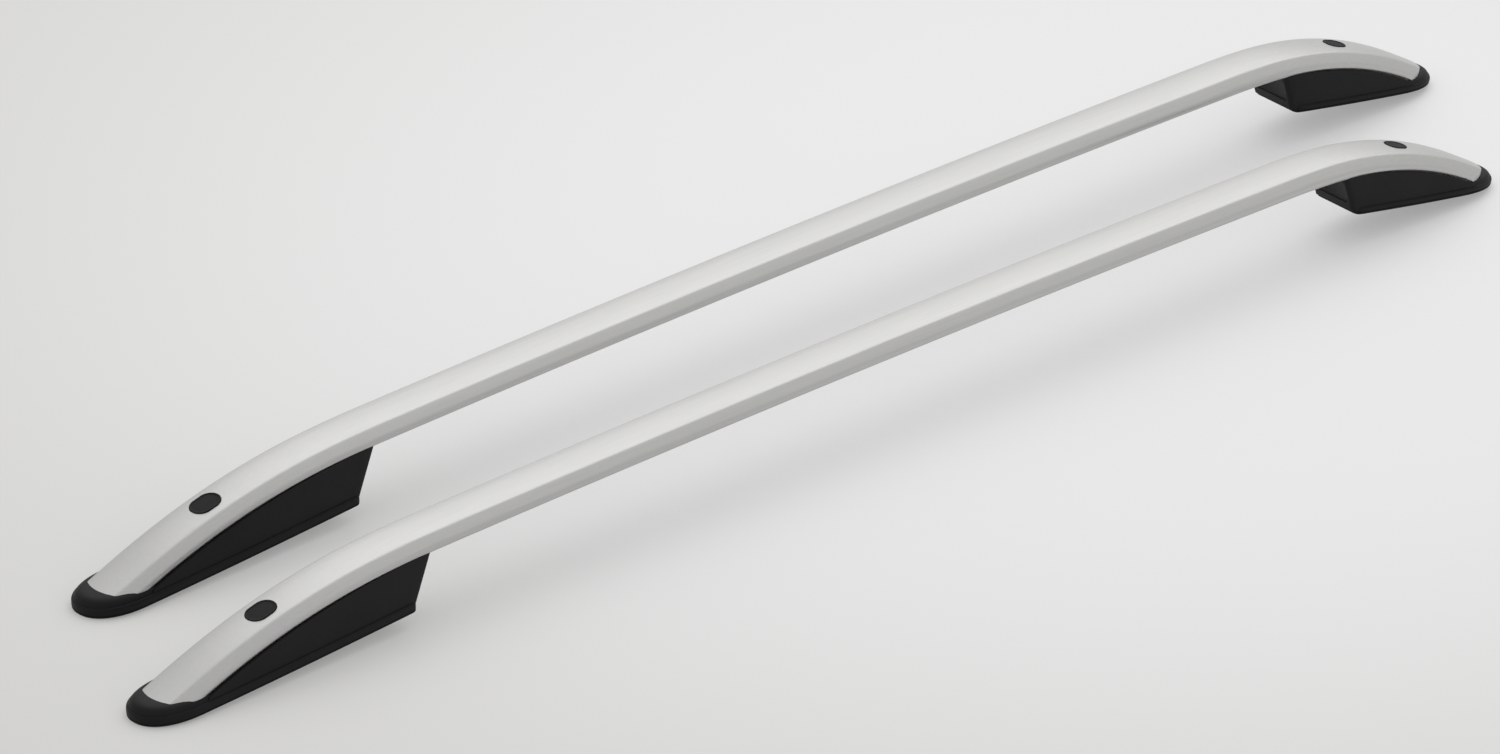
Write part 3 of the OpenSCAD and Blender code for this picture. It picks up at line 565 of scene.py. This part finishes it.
def flush_heel(end, grow):
    """Where a grown outline starts, so that it stands out at the heel only where the real one does."""
    return end.heel + grow * (1 - end.heel_out)


for end in (FRONT, REAR):
    print(end.name, "foot:", round(end.nose - end.heel, 1), "mm long,", 2 * NOSE_W, "mm wide")

# %% [markdown]
# ## Feet
# A foot is one black moulding: walls that follow the bar's underside, a low slab whose domed end is the nose cup
# for the bar's tip, and a rounded flange all the way round. Each is a stack of rings; they are joined, and the grown
# bar is cut out of them, which leaves the seat and the cup into which the bar dives. The heel has a sunk panel.

# %% Walls and heel panel


PANEL_MARGIN, PANEL_W = 3.4, 20.2


def walls(end, inset, top_depth, stop, low):
    """The foot's walls from a height above the base to a depth under the crown line."""
    rings = []
    half = plan(end, end.heel + inset, -inset, stop)
    for share in (0.0, 0.25, 0.5, 0.75, 1.0):
        ring = []
        for x, y in half:
            lean = end.slant * max(0.0, min(1.0, (stop - x) / (stop - end.heel)))
            x_now = x - lean * share
            foot = end.base_z(x) + low
            ring.append(Vector((x_now, y, foot + (end.line_z(x - lean, top_depth) - foot) * share)))
        rings.append(both_sides(ring))
    return solid("walls", rings)


def heel_panel(end):
    """The block that sinks a panel into the slanted heel face, with its edges drawn in."""
    floor, roof = end.base_z(end.heel), end.line_z(end.heel - end.slant, BAR_H)
    z0, z1 = floor + end.flange_h + PANEL_MARGIN, roof - PANEL_MARGIN
    run = end.slant / (roof - floor)
    rings = []
    for out, wide in ((-4.0, 0.0), (0.0, 0.0), (0.9, 0.2), (1.2, 0.8)):
        ring = []
        for y, z in ((0, z0), (PANEL_W - 3, z0), (PANEL_W, z0 + 3), (PANEL_W, z1 - 3), (PANEL_W - 3, z1), (0, z1)):
            z_now = z + wide if z < (z0 + z1) / 2 else z - wide
            ring.append(Vector((end.heel - (z - floor) * run + out, max(0, y - wide), z_now)))
        rings.append(both_sides(ring))
    return solid("panel", rings)


# %% The foot's cuts and its making
POST_HOLE_R, SCREW_R, BRACKET_SCREW_R = 10.3, 2.0, 2.5
SCREW_Y, BRACKET_SCREW_Y, BRACKET_SCREW_BACK = 16.8, 7.4, 24
SHARP = 28


def on_bar(end, x, y, depth):
    """A matrix that sets something upright on the crown line, a depth under it."""
    return (Matrix.Translation((x, y, end.line_z(x, 0))) @ Matrix.Rotation(end.slope(x), 4, "Y")
            @ Matrix.Translation((0, 0, -depth)))


def screw_places(end):
    """Where the foot's screws and the bracket's screws go through, as matrix and radius."""
    out = [(on_bar(end, x, y, BAR_H), SCREW_R) for x in (end.heel_screws, end.nose_screws) for y in (-SCREW_Y, SCREW_Y)]
    x = end.bore - BRACKET_SCREW_BACK
    return out + [(on_bar(end, x, y, BAR_H), BRACKET_SCREW_R) for y in (-BRACKET_SCREW_Y, BRACKET_SCREW_Y)]


def post_hole(end, top):
    """The upright hole for the bracket's post."""
    return round_bar("post_hole", POST_HOLE_R, 0, top, Matrix.Translation((end.bore, 0, 0)))


def mirror_if(end, thing):
    """Mirrors something made for an end towards +x when it belongs to the front end."""
    if end.sign < 0:
        thing.data.transform(Matrix.Diagonal((-1, 1, 1, 1)))
        thing.data.flip_normals()
    return thing


GROWN = swept("grown_bar", mirrored(bar_half(BAR_GAP)), 40)


def foot(end):
    """The whole foot: walls, deck and flange joined, then the bar's seat, the hollow and the holes cut out."""
    body = walls(end, 0.0, BAR_H - SEAT_RISE, end.cup, FOOT_LOW)
    deck = rounded(end, end.cup - CUP_BACK, 0.3, FOOT_LOW, end.deck_h, 0.74 * end.deck_h, 0.9 * end.deck_h, 2 / 3)
    flange = rounded(end, flush_heel(end, FLANGE_OUT), FLANGE_OUT, FOOT_LOW, end.flange_h, 2.6, 1.5)
    combine(body, solid("deck", deck), "UNION")
    combine(body, solid("flange", flange), "UNION")
    seat = mirror_if(end, make_object("seat", GROWN.data.copy()))
    room = [level(end, end.heel - 60, -CUP_WALL, h, NOSE_WALL) for h in (GASKET_T + FOOT_WALL, 90)]
    combine(body, combine(seat, solid("cup_room", room), "INTERSECT"), "DIFFERENCE")
    combine(body, walls(end, FOOT_WALL, BAR_H + BAR_GAP + FOOT_WALL, end.cup - CUP_BACK, -3.0), "DIFFERENCE")
    combine(body, heel_panel(end), "DIFFERENCE")
    combine(body, post_hole(end, 120), "DIFFERENCE")
    for matrix, radius in screw_places(end):
        combine(body, round_bar("screw_hole", radius + 0.3, -4.5, 1.0, matrix), "DIFFERENCE")
    drop_slivers(body.data)
    smooth(body.data, SHARP)
    return body


for end in (FRONT, REAR):
    body = foot(end)
    for side in SIDES:
        place(body, "%s_%s_foot_moulding" % (side, end.name), "foot", "foot_plastic", side, end)
    bpy.data.objects.remove(body)
print("feet:", made)

# %% [markdown]
# ## Gaskets and plugs
# The gasket is a rubber sheet with rounded edges and two sealing lips moulded into its underside. The plug is an
# oval cap with a thin raised rim round a slightly sunk face, which is how such caps are moulded.

# %% Gaskets
BUSH_HOLE_R, STUD_HOLE_R, STUD_BACK = 8.0, 4.5, 38
LIPS = ((7.4, 0.7), (7.0, 0.0), (5.6, 0.0), (5.2, 0.7), (3.4, 0.7), (3.0, 0.0), (1.0, 0.0), (0.3, 0.4), (0.0, 1.0))
EDGE = ((0.0, 1.7), (0.4, 2.3), (1.0, 2.5))


def gasket(end):
    """The rubber sheet: rings from the inner lip outwards, then up round the edge, with two holes."""
    heel = flush_heel(end, GASKET_OUT)
    rings = [level(end, heel, GASKET_OUT - inset, h) for inset, h in LIPS + EDGE]
    body = solid("gasket", rings)
    for back, radius in ((0, BUSH_HOLE_R), (STUD_BACK, STUD_HOLE_R)):
        combine(body, round_bar("hole", radius, -5, 80, Matrix.Translation((end.bore - back, 0, 0))), "DIFFERENCE")
    drop_slivers(body.data)
    smooth(body.data, SHARP)
    return body


# %% Plugs
RIM = ((-1.8, -2.2), (-1.8, -4.0), (0, -4.0), (0, 0.15), (-0.1, 0.38), (-0.35, 0.5), (-0.9, 0.5), (-1.25, 0.4),
       (-1.5, 0.1), (-1.8, 0.02), (-4.0, 0.08), (-6.0, 0.12))


def oval(length, width, grow, height):
    """A ring of an oval with round ends at one height."""
    radius, run = width / 2 + grow, (length - width) / 2
    turns = [math.pi / 2 * i / 12 for i in range(13)]
    half = [(-run - radius * math.cos(a), radius * math.sin(a)) for a in turns]
    half += [(run + radius * math.sin(a), radius * math.cos(a)) for a in turns]
    half[-1] = (run + radius, 0.0)
    return both_sides([Vector((x, y, height)) for x, y in half])


def plug(end):
    """The oval cap, set upright on the crown line."""
    length, width = end.plug_size
    body = solid("plug", [oval(length, width, grow, h) for grow, h in RIM])
    body.data.transform(on_bar(end, end.bore, 0, 0))
    smooth(body.data, 40)
    return body


SMALL_PIECES = ((gasket, "gasket", "gasket_rubber", "rubber"), (plug, "plug", "plug_plastic", "cap"))
for end in (FRONT, REAR):
    for maker, kind, slot, title in SMALL_PIECES:
        body = maker(end)
        for side in SIDES:
            place(body, "%s_%s_%s_%s" % (side, end.name, kind, title), kind, slot, side, end)
        bpy.data.objects.remove(body)
print("pieces so far:", len(made))

# %% [markdown]
# ## The bars' cuts
# The tongue at each tip is cut to the cup's outline, the three cells are cut out of the whole length, and each
# end gets the oval slot for its plug and the holes for the bracket's post and the screws.

# %% Cut and place the bars


def tip_waste(end):
    """What is cut off a bar's tip: all that lies outside the nose cup's room."""
    corners = ((end.cup - CUP_BACK, 0), (end.cup - CUP_BACK, 60), (820, 60), (820, 0))
    box = solid("waste", [both_sides([Vector((x, y, z)) for x, y in corners]) for z in (-80, 120)])
    heights = (GASKET_T + FOOT_WALL + BAR_GAP, 100)
    room = solid("room", [level(end, end.heel, -BAR_GAP - CUP_WALL, h, NOSE_WALL) for h in heights])
    return combine(box, room, "DIFFERENCE")


def bar():
    """The whole bar: the swept outline less its three cells, its waste at the tips, its slots and holes."""
    body = swept("bar", mirrored(bar_half()), 36)
    for cell in (middle_cell, side_cell, [(-y, z) for y, z in side_cell]):
        combine(body, swept("cell", cell, 60), "DIFFERENCE")
    for end in (FRONT, REAR):
        length, width = end.plug_size
        slot = solid("slot", [oval(length, width, 0.2, h) for h in (-7.75, 7.75)])
        slot.data.transform(on_bar(end, end.bore, 0, 0))
        cuts = [tip_waste(end), slot, post_hole(end, end.line_z(end.bore, BAR_H) + 7.5)]
        for matrix, radius in screw_places(end):
            room = 0.05 if radius == SCREW_R else 0.3
            cuts.append(round_bar("hole", radius + room, -3.3, 3.3, matrix))
        for cut in cuts:
            combine(body, mirror_if(end, cut), "DIFFERENCE")
    drop_slivers(body.data)
    smooth(body.data, SHARP)
    return body


bpy.data.objects.remove(GROWN)
body = bar()
for side in SIDES:
    place(body, side + "_bar_extrusion", "bar", "rail_aluminium", side)
bpy.data.objects.remove(body)
print("pieces and triangles:", made)

# %% [markdown]
# ## Ground, light and camera
# The rails were laid on pale ground under a broad, soft light that comes from behind the far end, so the
# near feet turn their dark sides to us and the shadows fall towards the lower left. The ground's colour is
# painted lighter round a spot towards the far end, a painted pool of light, and its shadows are faint: a third
# of its look is a plain glow that only the camera and reflections see, so it adds no light to the rails.

# %% Ground
# The spot is the centre of a pool of light painted into the ground's colour.
GROUND_REACH, PAINTED_LIGHT_SPOT, GLOW_SHARE = 12.0, (0.35, -0.05, 0.0), 0.35
ground_mesh = bpy.data.meshes.new("ground")
corners = [(x * GROUND_REACH, y * GROUND_REACH, 0) for x, y in ((-1, -1), (1, -1), (1, 1), (-1, 1))]
ground_mesh.from_pydata(corners, [], [(0, 1, 2, 3)])
ground = make_object("ground", ground_mesh)

# %% The ground's painted pool of light, lighter the nearer to a spot
ground_pale, tree, shader = new_finish("ground_pale", (0.8, 0.8, 0.8), 0.9)
place_on = tree.nodes.new("ShaderNodeTexCoord")
away = tree.nodes.new("ShaderNodeVectorMath")
away.operation = "DISTANCE"
away.inputs[1].default_value = PAINTED_LIGHT_SPOT
tree.links.new(place_on.outputs["Object"], away.inputs[0])
fade = tree.nodes.new("ShaderNodeMapRange")
fade.interpolation_type = "SMOOTHSTEP"
fade.inputs["From Min"].default_value, fade.inputs["From Max"].default_value = 0.3, 1.4
tree.links.new(away.outputs["Value"], fade.inputs["Value"])
# Painted light: the ground's colour is light near the spot and darker farther out, standing in for the lamp's pool of
# light.
painted_light_pool = tint(tree, fade.outputs["Result"], (0.87, 0.87, 0.87), (0.70, 0.695, 0.68))
tree.links.new(painted_light_pool, shader.inputs["Base Color"])
shader.inputs["Specular IOR Level"].default_value = 0.1

# %% The ground's glow for camera and reflections
glow, blend, ray = (tree.nodes.new("ShaderNode" + kind) for kind in ("Emission", "MixShader", "LightPath"))
seen, share = tree.nodes.new("ShaderNodeMath"), tree.nodes.new("ShaderNodeMath")
seen.operation, share.operation = "MAXIMUM", "MULTIPLY"
share.inputs[1].default_value = GLOW_SHARE
tree.links.new(ray.outputs["Is Camera Ray"], seen.inputs[0])
tree.links.new(ray.outputs["Is Glossy Ray"], seen.inputs[1])
tree.links.new(seen.outputs[0], share.inputs[0])
tree.links.new(painted_light_pool, glow.inputs["Color"])
tree.links.new(share.outputs[0], blend.inputs[0])
tree.links.new(shader.outputs["BSDF"], blend.inputs[1])
tree.links.new(glow.outputs["Emission"], blend.inputs[2])
tree.links.new(blend.outputs["Shader"], tree.nodes["Material Output"].inputs["Surface"])
ground_mesh.materials.append(ground_pale)
print("ground:", 2 * GROUND_REACH, "m square, glow share", GLOW_SHARE)

# %% World and lamps
world = bpy.data.worlds.new("studio")
world.use_nodes = True
world.node_tree.nodes["Background"].inputs["Color"].default_value = (1, 1, 1, 1)
world.node_tree.nodes["Background"].inputs["Strength"].default_value = 0.7
bpy.context.scene.world = world


def soft_lamp(name, at, size, watts):
    """A square area lamp that faces the rails."""
    lamp = bpy.data.lights.new(name, "AREA")
    lamp.size = size
    lamp.energy = watts
    thing = make_object(name, lamp)
    thing.location = at
    thing.rotation_euler = (-Vector(at)).to_track_quat("-Z", "Y").to_euler()
    return thing


key = soft_lamp("key", (2.2, 1.6, 3.4), 4.6, 66)
bpy.context.scene.view_settings.view_transform = "Standard"
print("key lamp:", key.data.size, "m wide,", key.data.energy, "W")

# %% [markdown]
# ## Camera
# The two rails look the same size in the photograph, so it was taken from far away with a long lens.
# The place and the turn were found by least squares on marked points of both rails.

# %% Place the camera
PHOTO_WIDTH = 1500
focal_px = 32000.0
azimuth, elevation, roll = -0.730197, 0.469772, 0.002167
shift_right, shift_up, distance = 40.738, -9.526, 25512.11

right = Vector((math.cos(azimuth), math.sin(azimuth), 0))
level_run = math.cos(elevation)
back = Vector((math.sin(azimuth) * level_run, -math.cos(azimuth) * level_run, math.sin(elevation)))
up = back.cross(right)
across = math.cos(roll) * right + math.sin(roll) * up
top = math.cos(roll) * up - math.sin(roll) * right
lens = bpy.data.cameras.new("camera")
lens.sensor_width = 36
lens.lens = focal_px * lens.sensor_width / PHOTO_WIDTH
lens.clip_start, lens.clip_end = 1, 100
camera = make_object("camera", lens)
camera.location = (Vector((PAIR_MIDDLE, 0, 0)) - shift_right * across - shift_up * top + distance * back) * MM
camera.rotation_euler = Matrix((across, top, back)).transposed().to_euler()
bpy.context.scene.camera = camera
print("camera at", [round(v, 2) for v in camera.location], "lens", round(lens.lens), "mm")
